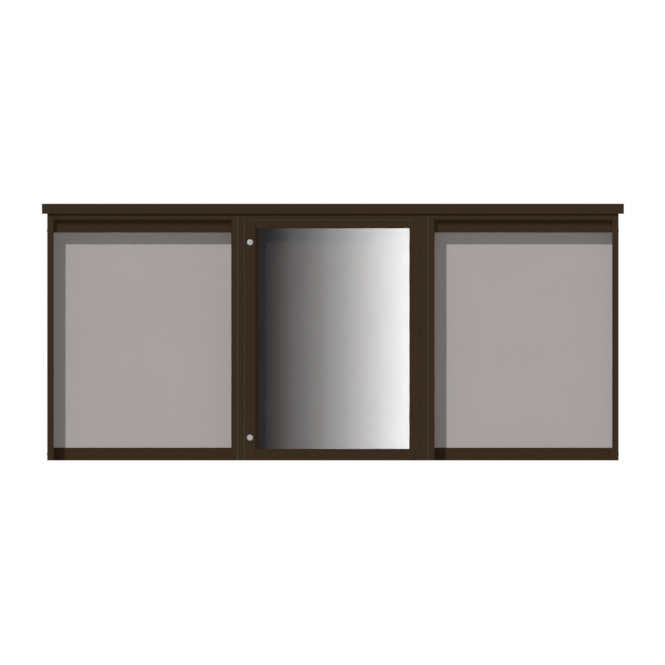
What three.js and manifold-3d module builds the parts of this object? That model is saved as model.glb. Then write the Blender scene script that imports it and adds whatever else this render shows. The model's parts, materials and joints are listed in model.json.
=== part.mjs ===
// A notice board for a wall: three equal aluminium cases side by side under one folded roof.
// The two outer cases are open display bays. The middle one has a glazed door, hung on two pivots
// at its right edge and held shut by two cam locks in its left edge.
// Millimetres. X runs to the right, Y from the front of the board to the wall, Z up.

import * as THREE from "three";
import { mergeVertices } from "three/addons/utils/BufferGeometryUtils.js";
import Module from "manifold-3d";

const wasm = await Module();
wasm.setup();

// Clearances and cuts
const fit = 0.3; // between two pieces that seat on each other
const bushFit = 0.15; // round a pressed bush
const runningFit = 0.1; // round a pin or plug that turns
const cutOver = 3; // how far a cutting tool runs past what it cuts

// One case, measured from its middle, its front and its bottom
const caseWidth = 749.7;
const caseGap = 0.3; // hairline between neighbouring cases
const caseDepth = 95;
const caseHeight = 974;
const wallWidth = 24.85;
const skin = 2.2; // thickness of the extruded case profiles
const edgeRadius = 1.2;
const chamberRadius = 1;

// Screw ports that run along the profiles
const portRadius = 2.1;
const portWall = 1.4;
const wallPortDepth = 34;

// Tongue that lines up two neighbouring cases
const splineWidth = 5.4;
const splineGroove = 3;
const splineEndGap = 2;

// Back panel in the wall grooves
const panelThickness = 4;
const panelRecess = 11; // how far the walls stand behind the panel
const panelGroove = 6;
const panelSideGap = 0.5;
const panelEndGap = 1;

// Rails between the walls
const openHeadHeight = 75;
const openHeadSetBack = 22; // its front face behind the walls' front
const openLipHeight = 27; // its lip in front of that face
const glazedHeadHeight = 57; // ends behind the door's top rail
const glazedLipHeight = 25; // ends above the door
const openRailHeight = 50;
const glazedRailHeight = 44; // ends behind the door's bottom rail
const openRailDepth = 6.7;
const openRailFoot = 4;

// Pinboard in the middle case
const pinboardThickness = 12;
const pinboardRadius = 1.5;

// Roof hood
const roofSheet = 2;
const roofFascia = 40;
const roofLap = 3; // how far the fascia hangs below the top of the cases
const roofFrontOver = 10.5;
const roofSideOver = 21;
const roofClear = 1.5; // between the roof's folded edges and the cases
const roofRearLip = 18;
const roofWallGap = 1;
const roofFall = THREE.MathUtils.degToRad(1.5);
const bendRadius = 1.6;

// Tubes that carry the roof
const bearerWidth = 20;
const bearerWall = 2;
const bearerSetIn = 4.5;
const bearerEndGap = 12;

// Rails that hang the board on the wall
const wallRailDepth = 14.7;
const wallRailHeight = 41;
const wallRailFlange = 12;
const wallRailSheet = 2.5;
const wallRailEndInset = 6; // from the outside of the cases
const upperRailDrop = 114; // below the top of the cases
const lowerRailRise = 110; // above their bottom
const wallSlotLength = 22;
const wallSlotWidth = 9;
const wallSlotEndRadius = 4.4;
const wallSlotShares = [-1.36, -0.44, 0.44, 1.36]; // of the distance between two cases

// Door leaf
const doorGap = 2.5;
const doorFootGap = 2;
const doorThickness = 24;
const doorSeatGap = 4; // behind the door, to the middle case's head and bottom rail
const doorSkin = 2;
const doorEdgeRadius = 1;
const lockStileWidth = 43.2;
const hingeStileWidth = 46.6;
const topRailHeight = 32.6;
const bottomRailHeight = 43.6;

// Glazing
const glazingLip = 9.5; // set-back lip of the lock stile that holds the glass
const lipRoot = 5; // its thickness at the stile
const lipTip = 1.6; // and at the glass
const rebateDepth = 14;
const rebateWidth = 10;
const glassThickness = 4;
const glassEdgeGap = 1.5;
const gasketThickness = 1.4;
const gasketWidth = 7;
const gasketSetback = 0.7;
const gasketRadius = 0.5;
const beadChamfer = 1.6;

// Pivots
const pivotInset = 14; // axis to the door's right edge
const pivotDepth = 8.5; // axis to the door's front face
const heelClearance = 0.5;
const pinRadius = 4;
const pinLength = 26;
const bushLength = 30;
const bushWall = 1.75;
const bushFlangeReach = 1.8;
const bushFlange = 1.2;
const shoulderRadius = 7;
const studRadius = 3;
const studLength = 12;
const bracketWidth = 30;
const bracketThickness = 3.3;
const bracketSetback = 0.6;
const bracketSlotDepth = 18;
const bracketSlotFloor = 2;
const bracketRadius = 4;
const notchClearance = 3.4;

// Door stops and seals
const stopSheet = 2;
const stopLeg = 20;
const stopReach = 10;
const sealWidth = 7;
const sealBase = 1.1;
const sealWallGap = 1.5;
const sealPivotGap = 8.5;
const sealEndGap = 3;
const sealFootGap = 6;
const sealRimInset = 8;
const sealFootInset = 14;

// Cam locks
const lockTopInset = 87.5;
const lockFootInset = 88;
const lockBackset = 20.9; // from the door's left edge
const lockFaceProud = 2.3;
const lockFaceChamfer = 0.9;
const lockPlugRadius = 6.5;
const lockBarrelWall = 2.5; // round the plug
const lockFaceReach = 2.6; // past the barrel
const lockPlugRecess = 0.3;
const keywayWidth = 1.8;
const keywayHeight = 8;
const keywayDepth = 12;
const nutThickness = 4;
const nutWall = 1.5; // at its flats
const camThickness = 2.5;
const camLength = 20.5;
const camHalfWidth = 7;
const camHubReach = 7.6;
const camHubRadius = 6.3;
const camTipRadius = 2.5;
const camTail = 7; // side of the square end that drives the cam
const camScrewRadius = 1.9;
const camScrewHeadRadius = 4.6;
const camScrewHeadHeight = 2.5;
const camScrewLength = 11;
const camScrewSocket = 1.5;
const camBehindStop = 0.7;

// Facets
const filletSteps = 3;
const roundSteps = 24;
const faceSteps = 48;
const arcSteps = 8;

// Sizes that follow from the ones above
const casePitch = caseWidth + caseGap;
const innerFace = caseWidth / 2 - wallWidth;
const bodyHalf = casePitch + caseWidth / 2;
const panelBack = caseDepth - panelRecess;
const panelFront = panelBack - panelThickness;
const railBack = panelFront - fit;
const seatDepth = doorThickness + doorSeatGap;
const lipBottom = caseHeight - glazedLipHeight;
const openHeadBottom = caseHeight - openHeadHeight;
const glazedHeadBottom = caseHeight - glazedHeadHeight;
const portHalf = portRadius + portWall;
const splineDepth = (wallPortDepth + portHalf + panelFront) / 2;
const wallPlane = caseDepth + fit + wallRailDepth;
const upperRailHeight = caseHeight - upperRailDrop;
const lowerRailHeight = lowerRailRise;
const bearerDepths = { front: bearerSetIn, rear: caseDepth - bearerSetIn - bearerWidth };
const roofBottom = caseHeight - roofLap;
const roofTop = roofBottom + roofFascia;
const roofHalf = bodyHalf + roofSideOver;
const roofRear = wallPlane - roofWallGap;
const roofUnder = (y) => roofTop - roofSheet - (y + roofFrontOver) * Math.tan(roofFall);

const doorSide = innerFace - doorGap;
const doorTop = lipBottom - doorGap;
const doorFoot = doorFootGap;
const stileFace = -doorSide + lockStileWidth; // right side of the lock stile
const sightLeft = stileFace + glazingLip;
const sightRight = doorSide - hingeStileWidth;
const sightTop = doorTop - topRailHeight;
const sightFoot = doorFoot + bottomRailHeight;
const rebateRight = sightRight + rebateWidth;
const rebateTop = sightTop + rebateWidth;
const rebateFoot = sightFoot - rebateWidth;
const glassFront = rebateDepth + 2 * fit + gasketThickness;
const glassBack = glassFront + glassThickness;

const pivotX = doorSide - pivotInset;
const heelRadius = pivotInset + doorGap - heelClearance;
const boreRadius = pinRadius + runningFit + bushWall + bushFit;
const bracketSide = innerFace - 2 * fit;
const slotCeiling = bracketSlotFloor + bracketThickness + 2 * fit;
const bracketTop = slotCeiling - fit;
const notchTop = bracketTop + 2 * fit + bushFlange;
const lockX = -doorSide + lockBackset;
const lockBarrelRadius = lockPlugRadius + lockBarrelWall;
const lockFaceRadius = lockBarrelRadius + lockFaceReach;
const nutAcross = 2 * (lockBarrelRadius + nutWall);
const lockHeights = { upper: doorTop - lockTopInset, lower: doorFoot + lockFootInset };
const camFront = seatDepth + stopSheet + camBehindStop;
const camBack = camFront + camThickness;
const sealFront = doorThickness + fit;
const sealBack = seatDepth - fit;

// Finishes
const brownPowderCoat = { color: 0x382c21, roughness: 0.55, metalness: 0.2 };
const greyPanel = { color: 0xa5a09e, roughness: 0.8, metalness: 0 };
const darkFelt = { color: 0x242426, roughness: 1, metalness: 0 };
const clearGlass = { color: 0xe6ecec, roughness: 0.03, metalness: 0, transparent: true, opacity: 0.3 };
const blackRubber = { color: 0x1a1a1b, roughness: 0.85, metalness: 0 };
const nickel = { color: 0xb2b4b6, roughness: 0.28, metalness: 1 };
const plainAluminium = { color: 0xb0b2b4, roughness: 0.4, metalness: 1 };
const zincSteel = { color: 0x9a9c9e, roughness: 0.45, metalness: 1 };
const blackSteel = { color: 0x2b2724, roughness: 0.5, metalness: 0.6 };
const blackNylon = { color: 0x201e1d, roughness: 0.6, metalness: 0 };
const galvanised = { color: 0x8f9395, roughness: 0.6, metalness: 0.8 };

// Points of a closed outline. A corner is [x, y] or [x, y, radius], and a radius rounds it.
function outline(corners) {
  return corners.flatMap(([x, y, radius = 0], i) => {
    const corner = new THREE.Vector2(x, y);
    if (radius === 0) return [corner];
    const toward = ([ox, oy]) => new THREE.Vector2(ox - x, oy - y).normalize();
    const before = toward(corners.at(i - 1));
    const after = toward(corners[(i + 1) % corners.length]);
    const half = Math.acos(before.dot(after)) / 2;
    const middle = before.clone().add(after).normalize();
    const centre = middle.multiplyScalar(radius / Math.sin(half)).add(corner);
    const reach = radius / Math.tan(half);
    const start = before.multiplyScalar(reach).add(corner).sub(centre);
    const end = after.multiplyScalar(reach).add(corner).sub(centre);
    const turn = Math.atan2(start.cross(end), start.dot(end));
    return Array.from({ length: filletSteps + 1 }, (_, k) => {
      const spoke = start.clone().rotateAround(new THREE.Vector2(), (turn * k) / filletSteps);
      return spoke.add(centre);
    });
  });
}

// Points of an arc from one angle to another.
function arc(x, y, radius, from, to, steps) {
  return Array.from({ length: steps + 1 }, (_, k) => {
    const angle = from + ((to - from) * k) / steps;
    return new THREE.Vector2(x + radius * Math.cos(angle), y + radius * Math.sin(angle));
  });
}

function circle(x, y, radius, steps = roundSteps) {
  return arc(x, y, radius, 0, 2 * Math.PI, steps).slice(0, -1);
}

function rectangle(x0, y0, x1, y1, radius = 0) {
  return outline([
    [x0, y0, radius],
    [x1, y0, radius],
    [x1, y1, radius],
    [x0, y1, radius],
  ]);
}

// Solids pushed along an axis from a section with holes: along Z the section lies in X and Y,
// along X in Y and Z, and along Y in X and Z.
function pushed(section, holes, length) {
  const clockwise = THREE.ShapeUtils.isClockWise(section);
  const shape = new THREE.Shape(clockwise ? section.toReversed() : section);
  shape.holes = holes.map((hole) => new THREE.Path(hole));
  return new THREE.ExtrudeGeometry(shape, { depth: length, bevelEnabled: false });
}

function alongZ(section, holes, z0, z1) {
  return pushed(section, holes, z1 - z0).translate(0, 0, z0);
}

function alongX(section, holes, x0, x1) {
  const turned = new THREE.Matrix4().makeBasis(
    new THREE.Vector3(0, 1, 0),
    new THREE.Vector3(0, 0, 1),
    new THREE.Vector3(1, 0, 0),
  );
  return pushed(section, holes, x1 - x0).applyMatrix4(turned).translate(x0, 0, 0);
}

function alongY(section, holes, y0, y1) {
  return pushed(section, holes, y1 - y0).rotateX(Math.PI / 2).translate(0, y1, 0);
}

function block(x0, x1, y0, y1, z0, z1) {
  const box = new THREE.BoxGeometry(x1 - x0, y1 - y0, z1 - z0);
  return box.translate((x0 + x1) / 2, (y0 + y1) / 2, (z0 + z1) / 2);
}

// A turned solid about the Y axis, from a closed profile of [radius, place along the axis].
function turned(profile, steps = roundSteps) {
  const points = profile.map(([radius, along]) => new THREE.Vector2(radius, along));
  return new THREE.LatheGeometry(points, steps);
}

// The same, standing upright.
function turnedUpright(profile, steps = roundSteps) {
  return turned(profile, steps).rotateX(Math.PI / 2);
}

function solid(geometry) {
  const bare = geometry.clone();
  bare.deleteAttribute("normal");
  bare.deleteAttribute("uv");
  const merged = mergeVertices(bare);
  const mesh = new wasm.Mesh({
    numProp: 3,
    vertProperties: merged.attributes.position.array,
    triVerts: new Uint32Array(merged.index.array),
  });
  return new wasm.Manifold(mesh);
}

function surface(manifold) {
  const mesh = manifold.getMesh();
  const geometry = new THREE.BufferGeometry();
  geometry.setAttribute("position", new THREE.BufferAttribute(mesh.vertProperties, mesh.numProp));
  geometry.setIndex(new THREE.BufferAttribute(mesh.triVerts, 1));
  return geometry;
}

function cut(geometry, ...tools) {
  return surface(tools.reduce((left, tool) => left.subtract(solid(tool)), solid(geometry)));
}

function join(geometry, ...others) {
  return surface(others.reduce((whole, other) => whole.add(solid(other)), solid(geometry)));
}

function piece(group, name, geometry, finish) {
  const shown = geometry.index ? geometry.toNonIndexed() : geometry;
  shown.computeVertexNormals();
  const mesh = new THREE.Mesh(shown, new THREE.MeshStandardMaterial(finish));
  mesh.name = name;
  group.add(mesh);
  return mesh;
}

// Section of a side wall in X and Y: three chambers, two screw ports, a groove for the back panel
// and, towards a neighbour, a groove for the tongue. side is 1 for a right wall and -1 for a left.
function wallSection(side, coupled) {
  const at = (u) => side * (innerFace + u);
  const grooveFront = panelFront - fit;
  const grooveBack = panelBack + fit;
  const tongueFront = splineDepth - splineWidth / 2;
  const tongueBack = splineDepth + splineWidth / 2;
  const tongueGroove = [
    [at(wallWidth), tongueFront],
    [at(wallWidth - splineGroove), tongueFront],
    [at(wallWidth - splineGroove), tongueBack],
    [at(wallWidth), tongueBack],
  ];
  const section = outline([
    [at(0), 0, edgeRadius],
    [at(wallWidth), 0, edgeRadius],
    ...(coupled ? tongueGroove : []),
    [at(wallWidth), caseDepth, edgeRadius],
    [at(0), caseDepth, edgeRadius],
    [at(0), grooveBack],
    [at(panelGroove), grooveBack],
    [at(panelGroove), grooveFront],
    [at(0), grooveFront],
  ]);
  const outer = wallWidth - skin;
  const beside = outer - splineGroove;
  const panelMiddle = panelFront + panelThickness / 2;
  const frontWeb = wallPortDepth - portHalf;
  const rearWeb = wallPortDepth + portHalf;
  const holes = [
    rectangle(at(skin), skin, at(outer), frontWeb, chamberRadius),
    rectangle(at(skin), rearWeb, at(beside), grooveFront - skin, chamberRadius),
    rectangle(at(skin), grooveBack + skin, at(outer), caseDepth - skin, chamberRadius),
    circle(at(wallWidth / 2), wallPortDepth, portRadius, roundSteps / 2),
    circle(at((panelGroove + wallWidth) / 2), panelMiddle, portRadius, roundSteps / 2),
  ];
  return [section, holes];
}

// Section of the head in Y and Z: a lip that is flush with the walls, over a rail that is set back.
function headSection(headBottom, setBack, lipHeight) {
  const web = (setBack + railBack) / 2;
  const lipFoot = caseHeight - lipHeight;
  const portRise = skin + portHalf;
  const section = outline([
    [0, lipFoot, edgeRadius],
    [setBack, lipFoot],
    [setBack, headBottom, edgeRadius],
    [railBack, headBottom],
    [railBack, caseHeight],
    [0, caseHeight, edgeRadius],
  ]);
  const floor = headBottom + skin;
  const ceiling = caseHeight - skin;
  const holes = [
    rectangle(skin, lipFoot + skin, setBack - skin, ceiling, chamberRadius),
    rectangle(setBack + skin, floor, web - portHalf, ceiling, chamberRadius),
    rectangle(web + portHalf, floor, railBack - skin, ceiling, chamberRadius),
    circle(web, headBottom + portRise, portRadius, roundSteps / 2),
    circle(web, caseHeight - portRise, portRadius, roundSteps / 2),
  ];
  return [section, holes];
}

// Section of the middle case's bottom rail in Y and Z, with the slot that takes the pivot bracket.
function seatRailSection() {
  const web = (seatDepth + railBack) / 2;
  const portRise = skin + portHalf;
  const slotBack = seatDepth + bracketSlotDepth;
  const section = outline([
    [seatDepth, 0],
    [railBack, 0],
    [railBack, glazedRailHeight],
    [seatDepth, glazedRailHeight, edgeRadius],
    [seatDepth, slotCeiling],
    [slotBack, slotCeiling],
    [slotBack, bracketSlotFloor],
    [seatDepth, bracketSlotFloor],
  ]);
  const ceiling = glazedRailHeight - skin;
  const rise = slotCeiling + skin;
  const holes = [
    rectangle(seatDepth + skin, rise, web - portHalf, ceiling, chamberRadius),
    rectangle(web + portHalf, skin, railBack - skin, ceiling, chamberRadius),
    circle(web, rise + portRise, portRadius, roundSteps / 2),
    circle(web, glazedRailHeight - portRise, portRadius, roundSteps / 2),
  ];
  return [section, holes];
}

// Section of an open case's bottom rail in Y and Z: a channel that is open towards the panel.
function openRailSection() {
  const front = railBack - openRailDepth;
  const section = outline([
    [front, 0, edgeRadius],
    [railBack, 0],
    [railBack, openRailFoot],
    [railBack - skin, openRailFoot],
    [railBack - skin, skin],
    [front + skin, skin],
    [front + skin, openRailHeight - skin],
    [railBack - skin, openRailHeight - skin],
    [railBack - skin, openRailHeight - openRailFoot],
    [railBack, openRailHeight - openRailFoot],
    [railBack, openRailHeight],
    [front, openRailHeight, edgeRadius],
  ]);
  return [section, []];
}

function addCase(board, name, place, glazed) {
  const group = new THREE.Group();
  group.position.x = place * casePitch;
  board.add(group);
  for (const [wall, side] of [["left_wall", -1], ["right_wall", 1]]) {
    const [section, holes] = wallSection(side, side !== place);
    piece(group, `${name}_${wall}`, alongZ(section, holes, 0, caseHeight), brownPowderCoat);
  }
  const end = innerFace - fit;
  const headProfile = glazed
    ? headSection(glazedHeadBottom, seatDepth, glazedLipHeight)
    : headSection(openHeadBottom, openHeadSetBack, openLipHeight);
  const head = alongX(...headProfile, -end, end);
  const studHole = turnedUpright([
    [0, lipBottom - cutOver],
    [studRadius + fit, lipBottom - cutOver],
    [studRadius + fit, lipBottom + skin + cutOver],
    [0, lipBottom + skin + cutOver],
  ]).translate(pivotX, pivotDepth, 0);
  piece(group, `${name}_head`, glazed ? cut(head, studHole) : head, brownPowderCoat);
  const railSection = glazed ? seatRailSection() : openRailSection();
  piece(group, `${name}_bottom_rail`, alongX(...railSection, -end, end), brownPowderCoat);
  const panelSide = innerFace + panelGroove - panelSideGap;
  const panelEdge = rectangle(-panelSide, panelFront, panelSide, panelBack);
  const panel = alongZ(panelEdge, [], panelEndGap, caseHeight - panelEndGap);
  piece(group, `${name}_${glazed ? "back" : "display"}_panel`, panel, greyPanel);
  if (!glazed) return;
  const foot = glazedRailHeight + fit;
  const boardFace = rectangle(-end, foot, end, glazedHeadBottom - fit, pinboardRadius);
  piece(group, "pinboard", alongY(boardFace, [], railBack - pinboardThickness, railBack), darkFelt);
}

// Tongues between the cases, in the grooves of both walls.
function addSplines(board) {
  for (const [name, side] of [["left", -1], ["right", 1]]) {
    const x = (side * casePitch) / 2;
    const halfX = splineGroove + caseGap / 2 - fit;
    const halfY = splineWidth / 2 - fit;
    const section = rectangle(x - halfX, splineDepth - halfY, x + halfX, splineDepth + halfY);
    const tongue = alongZ(section, [], splineEndGap, caseHeight - splineEndGap);
    piece(board, `case_tongue_${name}`, tongue, plainAluminium);
  }
}

// Roof: one folded sheet with a drip edge, an end plate at each side and two tubes underneath.
function addRoof(board) {
  const front = -roofFrontOver;
  const rearTop = roofUnder(roofRear) + roofSheet;
  const inside = front + roofSheet;
  const drip = roofBottom + roofSheet;
  const hood = outline([
    [front, roofBottom, bendRadius],
    [front, roofTop, bendRadius],
    [roofRear, rearTop, bendRadius],
    [roofRear, rearTop - roofRearLip],
    [roofRear - roofSheet, rearTop - roofRearLip],
    [roofRear - roofSheet, roofUnder(roofRear - roofSheet)],
    [inside, roofUnder(inside)],
    [inside, drip],
    [-roofClear, drip],
    [-roofClear, roofBottom],
  ]);
  piece(board, "roof_hood", alongX(hood, [], -roofHalf, roofHalf), brownPowderCoat);

  const plateFront = inside + fit;
  const plateRear = roofRear - roofSheet - fit;
  const lipFront = fit - roofClear;
  const plate = outline([
    [lipFront, roofBottom],
    [plateRear, roofBottom],
    [plateRear, roofUnder(plateRear) - fit],
    [plateFront, roofUnder(plateFront) - fit],
    [plateFront, drip + fit],
    [lipFront, drip + fit],
  ]);
  const outer = roofHalf - fit;
  const inner = outer - roofSheet;
  const lipInner = bodyHalf + roofClear;
  for (const [name, side] of [["left", -1], ["right", 1]]) {
    const [low, high] = [side * inner, side * outer].sort((a, b) => a - b);
    const upright = alongX(plate, [], low, high);
    const [lipLow, lipHigh] = [side * lipInner, side * (inner + roofSheet / 2)].sort((a, b) => a - b);
    const lip = block(lipLow, lipHigh, lipFront, plateRear, roofBottom, drip);
    piece(board, `roof_end_plate_${name}`, join(upright, lip), brownPowderCoat);
  }

  for (const [name, y] of Object.entries(bearerDepths)) {
    const back = y + bearerWidth;
    const foot = caseHeight + fit;
    const tube = outline([
      [y, foot],
      [back, foot],
      [back, roofUnder(back) - fit],
      [y, roofUnder(y) - fit],
    ]);
    const bore = outline([
      [y + bearerWall, foot + bearerWall],
      [back - bearerWall, foot + bearerWall],
      [back - bearerWall, roofUnder(back) - fit - bearerWall],
      [y + bearerWall, roofUnder(y) - fit - bearerWall],
    ]);
    const half = bodyHalf - bearerEndGap;
    piece(board, `roof_bearer_${name}`, alongX(tube, [bore], -half, half), plainAluminium);
  }
}

// Hat-shaped rails across the back, with slots for the wall screws.
function addWallRails(board) {
  const front = caseDepth + fit;
  const half = wallRailHeight / 2;
  const flange = half + wallRailFlange;
  const shell = wallRailSheet;
  for (const [name, height] of [["upper", upperRailHeight], ["lower", lowerRailHeight]]) {
    const hat = outline([
      [front, height - flange],
      [front + shell, height - flange],
      [front + shell, height - half],
      [wallPlane, height - half, shell / 2],
      [wallPlane, height + half, shell / 2],
      [front + shell, height + half],
      [front + shell, height + flange],
      [front, height + flange],
      [front, height + half - shell],
      [wallPlane - shell, height + half - shell],
      [wallPlane - shell, height - half + shell],
      [front, height - half + shell],
    ]);
    const end = bodyHalf - wallRailEndInset;
    const rail = alongX(hat, [], -end, end);
    const slots = wallSlotShares.map((share) => {
      const halfLong = wallSlotLength / 2;
      const halfWide = wallSlotWidth / 2;
      const hole = rectangle(-halfLong, -halfWide, halfLong, halfWide, wallSlotEndRadius);
      const tool = alongY(hole, [], wallPlane - shell - cutOver, wallPlane + cutOver);
      return tool.translate(share * casePitch, 0, height);
    });
    piece(board, `wall_rail_${name}`, cut(rail, ...slots), galvanised);
  }
}

// Angles on the middle case's walls that the door shuts against and the cams reach behind.
function addStops(board) {
  const sealEdge = pivotX - sealPivotGap - sealWidth - sealWallGap + fit;
  const angles = {
    left: { wall: -innerFace + fit, turn: 1, reach: stopReach - fit },
    right: { wall: innerFace - fit, turn: -1, reach: innerFace - fit - sealEdge },
  };
  for (const [name, { wall, turn, reach }] of Object.entries(angles)) {
    const section = outline([
      [wall, seatDepth],
      [wall + turn * reach, seatDepth],
      [wall + turn * reach, seatDepth + stopSheet],
      [wall + turn * stopSheet, seatDepth + stopSheet],
      [wall + turn * stopSheet, seatDepth + stopLeg],
      [wall, seatDepth + stopLeg],
    ]);
    const angle = alongZ(section, [], glazedRailHeight + fit, glazedHeadBottom - fit);
    piece(board, `door_stop_${name}`, angle, brownPowderCoat);
  }
}

// Sealing strips between the stops and the door: a flat base and a round crown towards the door.
function sealSection(low) {
  const radius = (sealWidth - 2 * sealBase) / 2;
  const rise = sealBack - sealBase - sealFront;
  const middle = low + sealWidth / 2;
  const crown = Array.from({ length: arcSteps + 1 }, (_, k) => {
    const angle = (Math.PI * k) / arcSteps;
    const across = middle - radius * Math.cos(angle);
    return new THREE.Vector2(across, sealBack - sealBase - rise * Math.sin(angle));
  });
  return [
    new THREE.Vector2(low, sealBack),
    new THREE.Vector2(low, sealBack - sealBase),
    ...crown,
    new THREE.Vector2(low + sealWidth, sealBack - sealBase),
    new THREE.Vector2(low + sealWidth, sealBack),
  ];
}

function addSeals(board) {
  const left = -innerFace + sealWallGap;
  const right = pivotX - sealPivotGap - sealWidth;
  const foot = doorFoot + sealFootGap;
  const top = doorTop - sealEndGap;
  piece(board, "door_seal_left", alongZ(sealSection(left), [], foot, top), blackRubber);
  piece(board, "door_seal_right", alongZ(sealSection(right), [], foot, top), blackRubber);
  const x0 = left + sealWidth + fit;
  const x1 = right - fit;
  const swapped = (low) => sealSection(low).map((point) => new THREE.Vector2(point.y, point.x));
  const rows = { top: doorTop - sealRimInset - sealWidth, bottom: doorFoot + sealFootInset };
  for (const [name, low] of Object.entries(rows)) {
    piece(board, `door_seal_${name}`, alongX(swapped(low), [], x0, x1), blackRubber);
  }
}

// Lock stile: a hollow profile with a set-back lip for the glass, bored for the two locks.
function lockStile() {
  const section = outline([
    [-doorSide, 0, doorEdgeRadius],
    [stileFace, 0, doorEdgeRadius],
    [stileFace, rebateDepth - lipRoot],
    [sightLeft, rebateDepth - lipTip],
    [sightLeft, rebateDepth],
    [stileFace, rebateDepth],
    [stileFace, doorThickness, doorEdgeRadius],
    [-doorSide, doorThickness, doorEdgeRadius],
  ]);
  const left = -doorSide + doorSkin;
  const rear = doorThickness - doorSkin;
  const chamber = rectangle(left, doorSkin, stileFace - doorSkin, rear, chamberRadius);
  const stile = alongZ(section, [chamber], doorFoot, doorTop);
  const lipFront = rebateDepth - lipRoot;
  const lipTool = (z0, z1) =>
    block(stileFace, sightLeft + cutOver, lipFront - cutOver, rebateDepth + cutOver, z0, z1);
  const bores = Object.values(lockHeights).map((height) =>
    turned([
      [0, -cutOver],
      [lockBarrelRadius + fit, -cutOver],
      [lockBarrelRadius + fit, doorThickness + cutOver],
      [0, doorThickness + cutOver],
    ], faceSteps).translate(lockX, 0, height),
  );
  return cut(
    stile,
    lipTool(doorFoot - cutOver, sightFoot + fit),
    lipTool(sightTop - fit, doorTop + cutOver),
    ...bores,
  );
}

// Hinge stile: a rebate for the glass, a round bore for the pivot bushes and a heel that is rolled
// about the pivot, so that it clears the wall as the door opens.
function hingeStile() {
  const heelStart = Math.acos(pivotInset / heelRadius);
  const heelEnd = Math.asin((doorThickness - pivotDepth) / heelRadius);
  const heel = arc(pivotX, pivotDepth, heelRadius, heelStart, heelEnd, arcSteps);
  const front = outline([
    [sightRight, rebateDepth],
    [sightRight, 0, doorEdgeRadius],
    [doorSide, 0, doorEdgeRadius],
    [doorSide, heel[0].y],
  ]);
  const section = [
    ...front,
    ...heel.slice(1),
    new THREE.Vector2(rebateRight, doorThickness),
    new THREE.Vector2(rebateRight, rebateDepth),
  ];
  const chamberSide = pivotX - boreRadius - doorSkin;
  const chamber = outline([
    [sightRight + doorSkin, doorSkin, chamberRadius],
    [chamberSide, doorSkin, chamberRadius],
    [chamberSide, doorThickness - doorSkin, chamberRadius],
    [rebateRight + doorSkin, doorThickness - doorSkin, chamberRadius],
    [rebateRight + doorSkin, rebateDepth - doorSkin],
    [sightRight + doorSkin, rebateDepth - doorSkin, chamberRadius],
  ]);
  const bore = circle(pivotX, pivotDepth, boreRadius);
  const stile = alongZ(section, [chamber, bore], doorFoot, doorTop);
  const notchSide = bracketSide - bracketWidth - notchClearance;
  const notch = block(
    notchSide,
    doorSide + cutOver,
    -cutOver,
    doorThickness + cutOver,
    doorFoot - cutOver,
    notchTop,
  );
  return cut(stile, notch);
}

// A door rail in Y and Z, with its rebate towards the glass. turn is 1 for the bottom rail, whose
// glass is above it, and -1 for the top rail. Its right end is coped round the hinge stile.
function doorRail(outside, sight, turn) {
  const rebate = sight - turn * rebateWidth;
  const section = outline([
    [0, outside, doorEdgeRadius],
    [0, sight, doorEdgeRadius],
    [rebateDepth, sight],
    [rebateDepth, rebate],
    [doorThickness, rebate],
    [doorThickness, outside, doorEdgeRadius],
  ]);
  const shell = outside + turn * doorSkin;
  const portSpan = 2 * portHalf - doorSkin;
  const chamber = outline([
    [doorSkin, shell, chamberRadius],
    [doorSkin, sight - turn * doorSkin, chamberRadius],
    [rebateDepth - doorSkin, sight - turn * doorSkin, chamberRadius],
    [rebateDepth - doorSkin, rebate - turn * doorSkin],
    [doorThickness - doorSkin, rebate - turn * doorSkin, chamberRadius],
    [doorThickness - doorSkin, shell + turn * portSpan],
    [doorThickness - doorSkin - portSpan, shell + turn * portSpan],
    [doorThickness - doorSkin - portSpan, shell],
  ]);
  const port = circle(doorThickness - portHalf, outside + turn * portHalf, portRadius, roundSteps / 2);
  const left = stileFace + fit;
  const right = rebateRight - fit;
  const rail = alongX(section, [chamber, port], left, right);
  const low = Math.min(outside, sight) - cutOver;
  const high = Math.max(outside, sight) + cutOver;
  return cut(rail, block(sightRight - fit, right + cutOver, -cutOver, rebateDepth + fit, low, high));
}

function addDoorFrame(door) {
  piece(door, "lock_stile", lockStile(), brownPowderCoat);
  piece(door, "hinge_stile", hingeStile(), brownPowderCoat);
  piece(door, "door_top_rail", doorRail(doorTop, sightTop, -1), brownPowderCoat);
  piece(door, "door_bottom_rail", doorRail(doorFoot, sightFoot, 1), brownPowderCoat);
}

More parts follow.
